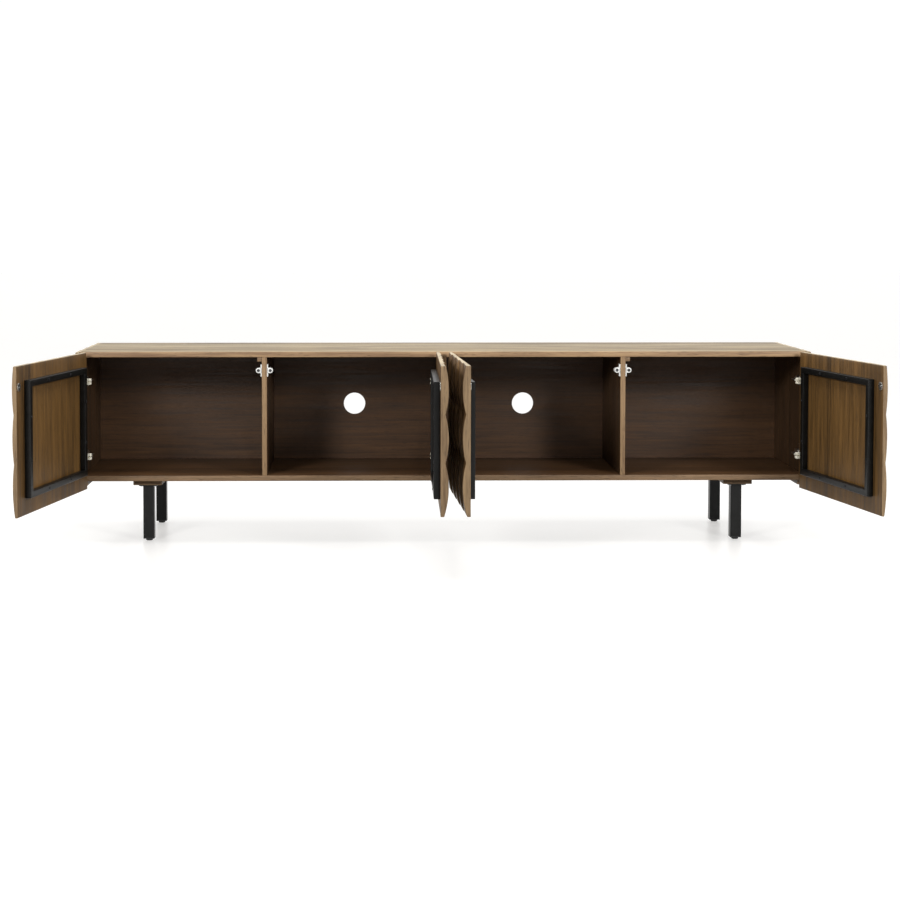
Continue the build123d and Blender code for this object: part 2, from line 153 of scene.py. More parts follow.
def studio():
    """White surroundings at the back and above, dimmer in front and dark below, with four soft lights."""
    scene = bpy.context.scene
    scene.view_settings.view_transform = "Standard"
    world = bpy.data.worlds.new("white_studio")
    world.use_nodes = True
    tree = world.node_tree
    way = add(tree, "ShaderNodeTexCoord").outputs["Generated"]
    split = add(tree, "ShaderNodeSeparateXYZ", {0: way})
    rise = {0: split.outputs["Z"], 1: HORIZON[0], 2: HORIZON[1], 3: BELOW, 4: SKY}
    sky = add(tree, "ShaderNodeMapRange", rise)
    rear = {0: split.outputs["Y"], 1: -0.5, 2: 0.5, 3: FRONT_SHARE, 4: 1.0}
    rear = add(tree, "ShaderNodeMapRange", rear)
    strength = {0: sky.outputs[0], 1: rear.outputs[0]}
    strength = add(tree, "ShaderNodeMath", strength, operation="MULTIPLY")
    tree.nodes["Background"].inputs["Color"].default_value = (1, 1, 1, 1)
    tree.links.new(strength.outputs[0], tree.nodes["Background"].inputs["Strength"])
    scene.world = world
    for name, place, aim, size, power in (
        ("key_light", (0.3, -4.4, 3.2), (0, 0.2, 0.3), 0.3, 30),
        ("left_light", (-2.0, -3.0, 1.6), (0, 0.2, 0.3), 0.7, 85),
        ("right_light", (2.0, -3.0, 1.6), (0, 0.2, 0.3), 0.7, 85),
        ("top_light", (0, 0.1, 3.0), (0, 0.1, 0.5), 1.6, 60),
    ):
        data = bpy.data.lights.new(name, "AREA")
        data.size = size
        data.energy = power
        light = bpy.data.objects.new(name, data)
        aside = np.array(place) - np.array(aim)
        aside = aside / np.linalg.norm(aside)
        across = np.cross(BACK, aside)
        across = across / np.linalg.norm(across)
        turn = Matrix(np.stack((across, np.cross(aside, across), aside)).T.tolist()).to_4x4()
        light.matrix_world = Matrix.Translation(place) @ turn
        light.visible_camera = False
        scene.collection.objects.link(light)


# ---- surfaces ----
def grid(rows, columns):
    """Quads of a grid of points, row by row, whose last column joins its first."""
    i = np.arange(rows - 1)[:, None] * columns
    j = np.arange(columns)[None, :]
    k = (j + 1) % columns
    corners = np.broadcast_arrays(i + j, i + k, i + columns + k, i + columns + j)
    return np.stack(corners, -1).reshape(-1, 4)


def lines(start, end, ease, step=0.2, marks=(), offsets=()):
    """Places from start to end: a quarter round's cosines at both ends, even steps between, more at marks.

    Beside each mark there is a place at each of the offsets on both sides.
    """
    quarter = ease * (1 - np.cos(np.linspace(0, pi / 2, 5)))
    even = np.linspace(start + ease, end - ease, max(2, round((end - start) / step) + 1))
    close = [mark + side * offset for mark in marks for offset in offsets for side in (-1, 1)]
    close = [place for place in close if start + ease < place < end - ease]
    return np.unique(np.concatenate((start + quarter, even, end - quarter, close)).round(7))


def slab(us, zs, thickness, ease, cut=None, across=0):
    """Closed board as a function of u and z, in axes of its own: u, t through it, and z.

    Its back lies at t = 0 and its face at t = thickness(u, z). Within ease of a rim both draw in by
    ease - sqrt(ease^2 - q^2), where q is how far the point has gone into the eased strip. The function cut
    gives, for a point of the back, how deep it is cut and where it moves to.
    """
    u, z = np.meshgrid(us, zs, indexing="ij")
    into_u = ease - np.minimum(u - us[0], us[-1] - u)
    into_z = ease - np.minimum(z - zs[0], zs[-1] - z)
    q = np.minimum(np.hypot(into_u.clip(0), into_z.clip(0)), ease)
    inset = ease - np.sqrt(ease**2 - q**2)
    face = thickness(u, z) - inset
    depth, rear_u, rear_z = (0, u, z) if cut is None else cut(u, z)
    rows, columns = u.shape
    ring = 2 * columns
    pairs = ((u, rear_u), (face, inset + depth), (z, rear_z), (q, q))
    both = [np.hstack((a, b[:, ::-1])) for a, b in pairs]
    points = np.stack(both[:3], -1).reshape(-1, 3)
    j = np.arange(columns - 1)
    first = np.stack((j + 1, j, ring - 1 - j, ring - 2 - j), -1)
    last = np.stack((j, j + 1, ring - 2 - j, ring - 1 - j), -1) + (rows - 1) * ring
    side = np.hstack((np.ones_like(u), np.zeros_like(u)))
    crown = (1 - (zs[-1] - both[2]) / ease).clip(0, 1)
    marks = {
        "rim": (both[3] / ease).ravel(),
        "side": side.ravel(),
        "crown": crown.ravel(),
        "across": points[:, across].copy(),
    }
    return points, np.vstack((grid(rows, ring), first, last)), marks


def turned(radii, heights, sides, relief=None):
    """Closed round shell: a profile of radius and height carried round its axis, from pole to pole.

    A radius may differ with the angle, and relief(x, y) is added to the heights.
    """
    angle = np.arange(sides) * 2 * pi / sides
    radius = np.stack([np.broadcast_to(r, sides) for r in radii])
    x, y = radius * np.cos(angle), radius * np.sin(angle)
    height = np.broadcast_to(np.array(heights)[:, None], x.shape)
    if relief is not None:
        height = height + relief(x, y, height)
    rings = np.stack((x, y, height), -1)
    points = np.vstack((rings[0, :1], rings[1:-1].reshape(-1, 3), rings[-1, :1]))
    j = np.arange(sides)
    k = (j + 1) % sides
    none = np.full(sides, -1)
    base = 1 + (len(radii) - 3) * sides
    first = np.stack((1 + k, 1 + j, np.zeros_like(j), none), -1)
    last = np.stack((base + j, base + k, np.full(sides, len(points) - 1), none), -1)
    return points, np.vstack((grid(len(radii) - 2, sides) + 1, first, last)), {}


def rounded(half_width, half_height, radius, steps=5):
    """Ring of a rounded rectangle: four quarter circles, one about each corner's centre."""
    quarter = np.linspace(0, pi / 2, steps)[None, :] + (np.arange(4) * pi / 2)[:, None]
    signs = np.array(((1, 1), (-1, 1), (-1, -1), (1, -1)), float)
    x = signs[:, :1] * (half_width - radius) + radius * np.cos(quarter)
    y = signs[:, 1:] * (half_height - radius) + radius * np.sin(quarter)
    return np.stack((x.ravel(), y.ravel()), -1)


def laid(shell, origin, first, second, third):
    """A shell moved from its own three axes to the frame's."""
    points, faces, marks = shell
    return np.asarray(origin) + points @ np.stack((first, second, third)), faces, marks


def outward(points, faces):
    """The faces, turned round if the volume that they close comes out negative."""
    a, b, c, d = (points[faces[:, i]] for i in range(4))
    triangle = faces[:, 3] < 0
    volume = np.einsum("ij,ij->i", a, np.cross(b, c))
    volume = volume + np.where(triangle, 0, np.einsum("ij,ij->i", a, np.cross(c, d)))
    if volume.sum() > 0:
        return faces
    return np.where(triangle[:, None], faces[:, [0, 2, 1, 3]], faces[:, [0, 3, 2, 1]])


def piece(name, shells, material, body, slot, *replaced):
    """One object from closed shells, riding on a body and standing for CAD nodes."""
    starts = np.cumsum([0] + [len(points) for points, _, _ in shells])
    points = np.vstack([shell[0] for shell in shells])
    faces = [
        np.where(turned_out < 0, -1, turned_out + start)
        for start, turned_out in zip(starts, (outward(shell[0], shell[1]) for shell in shells))
    ]
    faces = np.vstack(faces)
    triangle = faces[:, 3] < 0
    mesh = bpy.data.meshes.new(name)
    mesh.from_pydata(points.tolist(), [], faces[~triangle].tolist() + faces[triangle, :3].tolist())
    for mark in ("rim", "side", "crown", "across"):
        if all(mark in shell[2] for shell in shells):
            attribute = mesh.attributes.new(mark, "FLOAT", "POINT")
            values = np.concatenate([shell[2][mark] for shell in shells])
            attribute.data.foreach_set("value", values.astype(np.float32))
    mesh.polygons.foreach_set("use_smooth", np.ones(len(mesh.polygons), bool))
    mesh.set_sharp_from_angle(angle=SHARP)
    mesh.materials.append(material)
    made = bpy.data.objects.new(name, mesh)
    bpy.context.scene.collection.objects.link(made)
    if replaced:
        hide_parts(*replaced)
    if body:
        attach(made, body)
    return made


# ---- materials ----
def linear(code):
    """An sRGB hex colour as linear light."""
    value = np.array([int(code[i : i + 2], 16) for i in (1, 3, 5)]) / 255
    light = np.where(value <= 0.04045, value / 12.92, ((value + 0.055) / 1.055) ** 2.4)
    return (*light.tolist(), 1.0)


def add(tree, kind, sockets=None, **settings):
    """Add a node with its settings; sockets are its inputs, as values or as outputs to link from."""
    node = tree.nodes.new(kind)
    for key, value in settings.items():
        setattr(node, key, value)
    for key, value in (sockets or {}).items():
        if isinstance(value, bpy.types.NodeSocket):
            tree.links.new(value, node.inputs[key])
        else:
            node.inputs[key].default_value = value
    return node


def blank(name, **shader_values):
    """A new material with its tree and its shader, whose plain values are set by socket name."""
    material = bpy.data.materials.new(name)
    material.use_nodes = True
    shader = material.node_tree.nodes["Principled BSDF"]
    for key, value in shader_values.items():
        shader.inputs[key.replace("_", " ")].default_value = value
    return material, material.node_tree, shader


def finish_surface(tree, shader, colour, roughness, height, depth):
    """Join colour, roughness and a bump of that depth to the shader."""
    bump = add(tree, "ShaderNodeBump", {"Strength": 1.0, "Distance": depth, "Height": height})
    tree.links.new(colour, shader.inputs["Base Color"])
    tree.links.new(roughness, shader.inputs["Roughness"])
    tree.links.new(bump.outputs["Normal"], shader.inputs["Normal"])


NOISE_SPREAD = (0.3, 0.7)  # the noise node's usual lowest and highest values
FIBRE = (160 * MM, 5 * MM)  # along and across the grain
BAND = (450 * MM, 36 * MM)
PORE = (26 * MM, 1.5 * MM)
MIDDLE_TONE = 0.525
PLANK_TONES = 0.3  # how far the planks' tones lie apart
RUBBED_SHARE = 1.15
RUBBED_SPREAD = 0.9
PORE_RANGE = (0.60, 0.72)
PORE_SHADE = 0.55
PORE_COLOUR = "#1A110A"
WAX_ROUGHNESS = (0.42, 0.6)
FIBRE_RELIEF = 0.6
WOOD_RELIEF = 0.12 * MM


def wood(name, face, rear, edge, crown, along, plank, streaks=(1.25, 0.9)):
    """Stained and waxed hardwood, planed and sanded, glued up from planks.

    What gives it to the eye: long fibres in streaks, slow bands of darker growth, short dark pores, a
    change of tone at each glue joint, and paler rims where the stain has been rubbed away. Each pair of
    colours is dark and light wood, and crown is the pair at an upright board's top end; on the carved
    boards it is a painted highlight, paler colours that stand in for the light from above on that upward
    end. Streaks are the weights of the fibres and of the bands. The real fibres are under 1 mm wide, so
    they are drawn 5 mm wide to show.
    """
    material, tree, shader = blank(name, IOR=1.5, Specular_IOR_Level=0.32)
    place = add(tree, "ShaderNodeTexCoord").outputs["Object"]
    marks = {
        mark: add(tree, "ShaderNodeAttribute", attribute_name=mark).outputs["Fac"]
        for mark in ("rim", "side", "crown", "across")
    }
    count = add(tree, "ShaderNodeMath", {0: marks["across"], 1: plank}, operation="DIVIDE")
    number = add(tree, "ShaderNodeMath", {0: count.outputs[0]}, operation="FLOOR")
    other = add(tree, "ShaderNodeTexWhiteNoise", {"W": number.outputs[0]}, noise_dimensions="1D")
    cut = add(tree, "ShaderNodeVectorMath", {0: place, 1: other.outputs["Color"]}, operation="ADD")
    noises = []
    for size, detail, warp in ((FIBRE, 5.0, 0.4), (BAND, 3.0, 1.4), (PORE, 1.0, 0.0)):
        scale = (1 / np.where(along, *size)).tolist()
        scaled = add(tree, "ShaderNodeMapping", {"Vector": cut.outputs[0], "Scale": scale})
        noise = {"Vector": scaled.outputs[0], "Scale": 1.0, "Detail": detail, "Distortion": warp}
        noises.append(add(tree, "ShaderNodeTexNoise", noise).outputs["Fac"])
    fibre, band, pore = noises
    mixed = {0: fibre, 1: streaks[0], 2: MIDDLE_TONE - sum(streaks) / 2}
    mixed = add(tree, "ShaderNodeMath", mixed, operation="MULTIPLY_ADD")
    mixed = {0: band, 1: streaks[1], 2: mixed.outputs[0]}
    mixed = add(tree, "ShaderNodeMath", mixed, operation="MULTIPLY_ADD")
    tone = {0: other.outputs["Value"], 1: PLANK_TONES, 2: -PLANK_TONES / 2}
    tone = add(tree, "ShaderNodeMath", tone, operation="MULTIPLY_ADD")
    light = {0: mixed.outputs[0], 1: tone.outputs[0]}
    light = add(tree, "ShaderNodeMath", light, operation="ADD", use_clamp=True)
    shades = []
    for dark, pale in (rear, face, edge, crown):
        shade = {0: light.outputs[0], 6: linear(dark), 7: linear(pale)}
        shades.append(add(tree, "ShaderNodeMix", shade, data_type="RGBA"))
    faces = {0: marks["side"], 6: shades[0].outputs[2], 7: shades[1].outputs[2]}
    broad = add(tree, "ShaderNodeMix", faces, data_type="RGBA")
    rubbed = {0: fibre, 1: RUBBED_SPREAD, 2: -RUBBED_SPREAD / 2}
    rubbed = add(tree, "ShaderNodeMath", rubbed, operation="MULTIPLY_ADD")
    rim = {0: marks["rim"], 1: RUBBED_SHARE, 2: rubbed.outputs[0]}
    rim = add(tree, "ShaderNodeMath", rim, operation="MULTIPLY_ADD", use_clamp=True)
    rim = add(tree, "ShaderNodeMath", {0: rim.outputs[0], 1: marks["rim"]}, operation="MULTIPLY")
    edges = {0: marks["crown"], 6: shades[2].outputs[2], 7: shades[3].outputs[2]}
    edges = add(tree, "ShaderNodeMix", edges, data_type="RGBA")
    ends = {0: rim.outputs[0], 6: broad.outputs[2], 7: edges.outputs[2]}
    bare = add(tree, "ShaderNodeMix", ends, data_type="RGBA")
    open_pore = {0: pore, 1: PORE_RANGE[0], 2: PORE_RANGE[1], 3: 0.0, 4: PORE_SHADE}
    open_pore = add(tree, "ShaderNodeMapRange", open_pore)
    dark = {0: open_pore.outputs[0], 6: bare.outputs[2], 7: linear(PORE_COLOUR)}
    colour = add(tree, "ShaderNodeMix", dark, data_type="RGBA")
    rough = {0: fibre, 1: NOISE_SPREAD[0], 2: NOISE_SPREAD[1], 3: WAX_ROUGHNESS[0], 4: WAX_ROUGHNESS[1]}
    rough = add(tree, "ShaderNodeMapRange", rough)
    relief = add(tree, "ShaderNodeMath", {0: fibre, 1: FIBRE_RELIEF}, operation="MULTIPLY")
    relief = {0: relief.outputs[0], 1: open_pore.outputs[0]}
    relief = add(tree, "ShaderNodeMath", relief, operation="SUBTRACT")
    finish_surface(tree, shader, colour.outputs[2], rough.outputs[0], relief.outputs[0], WOOD_RELIEF)
    return material


CLOUD_SHARE = 0.06  # how much coarser than the grain the clouds of tone are


def speckled(name, dark, light, size, roughness, depth, **shader_values):
    """A sprayed, plated, moulded or pressed surface.

    Its gloss and height vary with a grain of that size, and its tone with soft clouds.
    """
    material, tree, shader = blank(name, **shader_values)
    place = add(tree, "ShaderNodeTexCoord").outputs["Object"]
    grain = {"Vector": place, "Scale": 1 / size, "Detail": 2.0}
    grain = add(tree, "ShaderNodeTexNoise", grain).outputs["Fac"]
    cloud = {"Vector": place, "Scale": CLOUD_SHARE / size, "Detail": 3.0}
    cloud = add(tree, "ShaderNodeTexNoise", cloud).outputs["Fac"]
    spread = add(tree, "ShaderNodeMapRange", {0: cloud, 1: NOISE_SPREAD[0], 2: NOISE_SPREAD[1]})
    colours = {0: spread.outputs[0], 6: linear(dark), 7: linear(light)}
    colour = add(tree, "ShaderNodeMix", colours, data_type="RGBA")
    rough = {0: grain, 1: NOISE_SPREAD[0], 2: NOISE_SPREAD[1], 3: roughness[0], 4: roughness[1]}
    rough = add(tree, "ShaderNodeMapRange", rough)
    finish_surface(tree, shader, colour.outputs[2], rough.outputs[0], grain, depth)
    return material


LONGWAYS = np.array((True, False, False))
UPRIGHT = np.array((False, False, True))
BOARD_PLANK = 77 * MM
DIVIDER_PLANK = 88 * MM
DOOR_PLANK = 98 * MM
SIDE_PLANK = 102 * MM
TOP_STREAKS = (1.9, 2.8)
CARVED_STREAKS = (1.7, 1.2)
WASHED = ("#58482F", "#9E8C6C")
STAINED = ("#2C1D10", "#67482B")
DEEP_STAIN = ("#23170C", "#4F3721")
CARVED = ("#3B2915", "#7B5C36")
CARVED_REAR = ("#37260F", "#735329")
WARM_EDGE = ("#745941", "#A08260")
DULL_EDGE = ("#5A4530", "#8C7154")
TAN_EDGE = ("#695138", "#9A7D5B")
RUBBED = ("#5B4732", "#987F5E")
# Painted highlight: paler colours for a carved board's upward top end, standing in for the light from above.
PAINTED_TOP_HIGHLIGHT = ("#85745B", "#C4B494")
PLY = ("#291A0E", "#563A20")

# Mango wood, lime-washed and waxed on top: grey-beige with fine streaks, warm where the wash is rubbed off.
washed_top = wood("washed_mango_top", WASHED, STAINED, WARM_EDGE, WARM_EDGE, LONGWAYS, BOARD_PLANK,
                  TOP_STREAKS)
# Mango wood, stained dark brown and waxed: the inside of the carcass, with rubbed tan front edges.
stained_board = wood("stained_mango_board", STAINED, STAINED, DULL_EDGE, DULL_EDGE, LONGWAYS, BOARD_PLANK)
stained_upright = wood("stained_mango_upright", DEEP_STAIN, DEEP_STAIN, TAN_EDGE, TAN_EDGE, UPRIGHT,
                       DIVIDER_PLANK)
# Mango wood, carved with a gouge outside and planed inside, stained brown, its rims rubbed pale; a painted
# highlight makes its upward top end paler, standing in for the light from above.
carved_wood = wood("carved_mango_door", CARVED, CARVED_REAR, RUBBED, PAINTED_TOP_HIGHLIGHT, UPRIGHT, DOOR_PLANK,
                   CARVED_STREAKS)
# The carved side panels, with the same painted highlight on their top ends.
carved_side = wood("carved_mango_side", CARVED, DEEP_STAIN, RUBBED, PAINTED_TOP_HIGHLIGHT, UPRIGHT, SIDE_PLANK,
                   CARVED_STREAKS)
# Thin plywood stained to match.
rear_ply = wood("stained_plywood", PLY, PLY, PLY, PLY, LONGWAYS, 1.0)
# Mild steel tube, sprayed with black powder and baked: satin with a fine orange peel.
black_steel = speckled("black_powder_coated_steel", "#090908", "#121211", 1.1 * MM, (0.28, 0.42),
                       0.05 * MM, Specular_IOR_Level=0.2)
# Carbon steel screws, blacked in a bath.
black_screw = speckled("blacked_screw_steel", "#1A1A1B", "#2E2E30", 0.7 * MM, (0.3, 0.42), 0.02 * MM,
                       Metallic=1.0)
# Pressed steel with bright nickel plate.
nickel = speckled("nickel_plated_steel", "#B9B6AF", "#DAD8D2", 0.6 * MM, (0.22, 0.34), 0.01 * MM,
                  Metallic=1.0)
# Steel screws, zinc plated: a little bluer and duller.
zinc = speckled("zinc_plated_steel", "#A9ADB0", "#CED1D3", 0.5 * MM, (0.3, 0.45), 0.02 * MM,
                Metallic=1.0)
# Moulded nylon, unpainted: cream, with a soft moulded skin.
cream_nylon = speckled("cream_nylon", "#DDD6C0", "#EFEADB", 0.5 * MM, (0.38, 0.5), 0.02 * MM)
# Moulded ABS, white.
white_abs = speckled("white_abs", "#D9D9D5", "#ECECE8", 0.5 * MM, (0.3, 0.42), 0.015 * MM)
# Moulded polyethylene, black.
black_plastic = speckled("black_polyethylene", "#101010", "#1D1D1C", 0.8 * MM, (0.5, 0.65), 0.03 * MM)
# Pressed and sintered ferrite, ground flat.
ferrite = speckled("ground_ferrite", "#2B2B2D", "#454548", 0.4 * MM, (0.45, 0.6), 0.02 * MM, Metallic=0.4)


# ---- the carcass ----
def box_of(node):
    """A CAD node's lowest and highest corners as arrays."""
    return [np.array(corner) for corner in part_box(node)]


def board(node, thin, across, material, slot):
    """A board with eased edges in a CAD board's box: a slab of even thickness along the thin axis."""
    low, high = box_of(node)
    first, second = [axis for axis in range(3) if axis != thin]
    axes = np.eye(3)
    us = lines(0, (high - low)[first], BOARD_EASE)
    zs = lines(0, (high - low)[second], BOARD_EASE)
    shell = slab(us, zs, lambda u, z: np.full_like(u, (high - low)[thin]), BOARD_EASE, across=across)
    shell = laid(shell, low, axes[first], axes[thin], axes[second])
    piece(f"{node}_eased", [shell], material, "cabinet", slot, node)


def carcass():
    """Top, bottom, dividers, cleats, battens and stop blocks as eased boards."""
    board("top_board", 2, 2, washed_top, "top_wood")
    board("bottom_board", 2, 2, stained_board, "carcass_wood")
    for node in ("left_divider", "centre_divider", "right_divider"):
        board(node, 0, 0, stained_upright, "carcass_wood")
    for node in ("left_cleat", "right_cleat", "left_batten", "right_batten"):
        board(node, 2, 0, stained_board, "carcass_wood")
    low, high = box_of("stop_blocks")
    side = high[2] - low[2]
    shells = []
    for x in (low[0], high[0] - side):
        us = lines(0, side, BOARD_EASE)
        zs = lines(0, high[1] - low[1], BOARD_EASE)
        shell = slab(us, zs, lambda u, z: np.full_like(u, side), BOARD_EASE)
        shells.append(laid(shell, (x, low[1], low[2]), RIGHT, UP, BACK))
    piece("stop_blocks_eased", shells, stained_board, "cabinet", "carcass_wood", "stop_blocks")


# ---- carved boards ----
def carving(width, columns, crest, pitch, top, thick_first):
    """Thickness of a carved board at u and z.

    Every column falls straight from thick to thin, or rises from thin to thick, and the next starts again
    with a step. Every row is one arc with its crest in the row's middle and a notch at each foot, of radius
    (pitch^2 / 4 + scoop^2) / (2 scoop). Crests and notches are softened by taking the mean over a small
    square. The gouge leaves a fine ripple: the product of a sine along and a sine up, whose phases wander
    with each other's place.
    """

    def cut(u, z):
        share = np.clip(u / width, 0, 1 - 1e-9) * columns % 1.0
        share = share if thick_first else 1 - share
        high = crest + (THIN_CREST - crest) * share
        scoop = high - (THICK_NOTCH + (THIN_NOTCH - THICK_NOTCH) * share)
        radius = (pitch**2 / 4 + scoop**2) / (2 * scoop)
        row = np.clip(np.floor((top - z) / pitch), 0, ROWS - 1)
        off = z - top + (row + 0.5) * pitch
        return high - radius + np.sqrt(radius**2 - off**2)

    def thickness(u, z):
        spread = np.array((-1, -0.5, 0, 0.5, 1)) * WORN
        mean = np.mean([cut(u + a, z + b) for a in spread for b in spread], axis=0)
        chips = np.sin(u / GOUGE_MARK[0] + 2 * np.sin(z / GOUGE_WANDER[0]))
        chips = chips * np.sin(z / GOUGE_MARK[1] + 3 * np.sin(u / GOUGE_WANDER[1]))
        return mean + GOUGE * (chips - 1)

    return thickness


def carved_board(width, low, high, columns, crest, pitch, thick_first, bores=(), bore=0.0, sunk=0.0):
    """Closed carved board, whose flat face has a fine groove at each joint between its columns' planks.

    The flat face may have round bores, whose radius is bore and whose depth is sunk. A square of the grid
    about each is drawn into a disc: a point moves along its ray until its distance from the middle is the
    greater of its two offsets.
    """
    joints = np.arange(1, columns) * width / columns
    notches = high - np.arange(1, ROWS) * pitch
    rings = (*np.arange(6) * bore / 6, bore - BORE_WALL, bore, bore + BORE_WALL)
    us = lines(0, width, BOARD_EASE, CARVED_STEP[0], joints, NEAR_MARKS)
    zs = lines(low, high, BOARD_EASE, CARVED_STEP[1], notches, NEAR_MARKS)
    for u, z in bores:
        us = np.union1d(us, [u + side * ring for ring in rings for side in (-1, 1)])
        zs = np.union1d(zs, [z + side * ring for ring in rings for side in (-1, 1)])
    square = bore + BORE_MARGIN

    def cut(u, z):
        depth = JOINT_DEPTH * sum(np.exp(-(((u - joint) / JOINT_WIDTH) ** 2)) for joint in joints)
        for middle_u, middle_z in bores:
            du, dz = u - middle_u, z - middle_z
            most = np.maximum(np.abs(du), np.abs(dz))
            share = ((square - most) / (square - bore)).clip(0, 1)
            squeeze = 1 + share * (most / np.hypot(du, dz).clip(1e-9) - 1)
            u, z = middle_u + du * squeeze, middle_z + dz * squeeze
            depth = np.where(most < bore - BORE_WALL / 2, sunk, depth)
        return depth, u, z

    thickness = carving(width, columns, crest, pitch, high, thick_first)
    return slab(us, zs, thickness, BOARD_EASE, cut)


def side_panels(pitch):
    """The carved side panels: their columns are thin in front, and flat faces carry the boards' ends."""
    for node, side in (("left_side_panel", -1), ("right_side_panel", 1)):
        low, high = box_of(node)
        deep, crest = high[1] - low[1], high[0] - low[0]
        shell = carved_board(deep, low[2], high[2], SIDE_COLUMNS, crest, pitch, False)
        flat = low[0] if side > 0 else high[0]
        shell = laid(shell, (flat, low[1], 0), BACK, side * RIGHT, UP)
        piece(f"{node}_carved", [shell], carved_side, "cabinet", "carved_wood", node)


# ---- doors ----
class Hung:
    """A door's own axes at rest, from its joint: along it from the hinge edge, inward through it, and up."""

    def __init__(self, number):
        joint = next(j for j in frame["joints"] if j["name"] == f"door_{number}_hinge")
        self.number = number
        self.body = joint["child"]
        self.parent = joint["parent"]
        self.hand = -joint["axis"][2]
        turn = radians(-joint["range_deg"][0])
        self.pivot = np.array(joint["pos_m"]) * (1, 1, 0)
        self.along = np.array((self.hand * cos(turn), -sin(turn), 0.0))
        self.inward = np.array((self.hand * sin(turn), cos(turn), 0.0))

    def point(self, along, inward, up):
        """A point of the frame from the door's own three places."""
        return self.pivot + self.along * along + self.inward * inward + UP * up

    def span(self, part):
        """Lowest and highest place of one of the door's CAD nodes along each of the door's own axes."""
        vertices = frame["nodes"][f"{self.body}_{part}"].data.vertices
        flat = np.zeros(3 * len(vertices))
        vertices.foreach_get("co", flat)
        own = (flat.reshape(-1, 3) - self.pivot) @ np.stack((self.along, self.inward, UP)).T
        return own.min(0), own.max(0)

    def levels(self):
        """Heights of the middles of the two hinge cups."""
        low, high = self.span("hinge_cups")
        return low[2] + FLANGE_HALF_LENGTH, high[2] - FLANGE_HALF_LENGTH

    def lay(self, shell, along, inward, up):
        """A shell whose third axis points inward, off the door's face, set at a place on the door."""
        return laid(shell, self.point(along, inward, up), self.along, UP, self.inward)


def door_panel(hung, pitch):
    """The carved board of a door: its columns are thick towards the hinge on an outer door, else thin."""
    low, high = hung.span("panel")
    cups_low, cups_high = hung.span("hinge_cups")
    bores = [((cups_low[0] + cups_high[0]) / 2, level) for level in hung.levels()]
    sunk = cups_high[1] - FLANGE - cups_low[1] + BORE_SLACK
    wide, thick = high[0] - low[0], high[1] - low[1]
    outer = hung.number in OUTER_DOORS
    bore = CUP_OUTER + BORE_SLACK
    shell = carved_board(wide, low[2], high[2], DOOR_COLUMNS, thick, pitch, outer, bores, bore, sunk)
    shell = laid(shell, hung.point(0, high[1], 0), hung.along, -hung.inward, UP)
    name = f"{hung.body}_carved_board"
    piece(name, [shell], carved_wood, hung.body, "carved_wood", f"{hung.body}_panel")


def door_frame(hung):
    """Four mitred tubes: a rounded square profile carried round a rectangle.

    A profile point lies o in from the rectangle's outline, so at each corner it stands o in both ways, which
    is the mitre.
    """
    low, high = hung.span("steel_frame")
    tube = high[1] - low[1]
    profile = rounded(tube / 2, tube / 2, TUBE_CORNER) + tube / 2
    corners = (
        (low[0], low[2], 1, 1),
        (high[0], low[2], -1, 1),
        (high[0], high[2], -1, -1),
        (low[0], high[2], 1, -1),
    )
    rings = [
        np.stack((u + su * profile[:, 0], z + sz * profile[:, 0], profile[:, 1]), -1)
        for u, z, su, sz in corners
    ]
    points = np.vstack([*rings, rings[0]])
    count = len(profile)
    faces = grid(5, count) % (4 * count)
    shell = laid((points[: 4 * count], faces, {}), hung.point(0, low[1], 0), hung.along, UP, hung.inward)
    name = f"{hung.body}_frame_tubes"
    piece(name, [shell], black_steel, hung.body, "black_steel", f"{hung.body}_steel_frame")

    middle = [(u + su * tube / 2, z + sz * tube / 2) for u, z, su, sz in corners]
    spots = [
        np.array(middle[i]) * (1 - share) + np.array(middle[(i + 1) % 4]) * share
        for i in range(4)
        for share in SCREW_SHARES
    ]
    one = screw(*FRAME_SCREW, tube + FRAME_SCREW_BITE)
    screws = [hung.lay(one, u, high[1], z) for u, z in spots]
    name = f"{hung.body}_frame_pan_heads"
    piece(name, screws, black_screw, hung.body, "black_screw", f"{hung.body}_frame_screws")


def screw(head, rise, shank, length):
    """Pan-head screw: a flat dome, its underside, a shank and a point, with a cross let into the dome."""
    radii = head * np.array((0, 0.2, 0.42, 0.62, 0.8, 0.93, 1.0))
    heights = rise * np.array((1, 1, 0.98, 0.93, 0.78, 0.5, 0))

    def cross(x, y, height):
        arm = (np.minimum(np.abs(x), np.abs(y)) < 0.17 * head) & (np.hypot(x, y) < 0.65 * head)
        return np.where(arm & (height > 0.6 * rise), -0.6 * rise, 0.0)

    ends = (shank, shank, 0)
    return turned([*radii, *ends], [*heights, 0, 2 * shank - length, -length], 24, cross)


